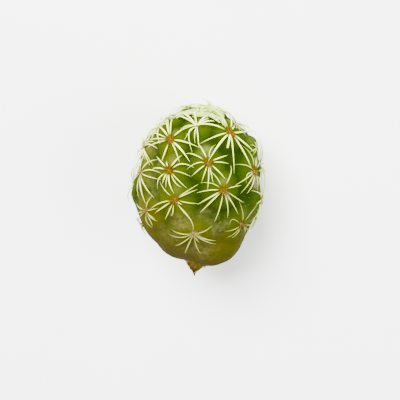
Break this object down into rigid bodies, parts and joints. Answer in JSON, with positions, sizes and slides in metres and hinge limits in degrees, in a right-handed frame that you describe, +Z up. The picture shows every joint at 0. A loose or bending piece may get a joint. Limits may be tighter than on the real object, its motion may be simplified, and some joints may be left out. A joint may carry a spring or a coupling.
{
  "type": "thimble cactus offset",
  "caption": "Small egg-shaped offset of a thimble cactus as picked, with low tubercles, a star of curved white spines on each, and a short dry stub. It lies on its side.",
  "frame": {"origin": "centre of the bounding box's footprint, on the surface that the cactus lies on", "axes": "+Y along the stem's axis towards its apex, +Z up from the surface"},
  "size_m": [0.0164, 0.0218, 0.0154],
  "materials": {
    "skin": "satin"
  },
  "bodies": {
    "root": {"thimble_cactus": "skin"}
  },
  "joints": []
}
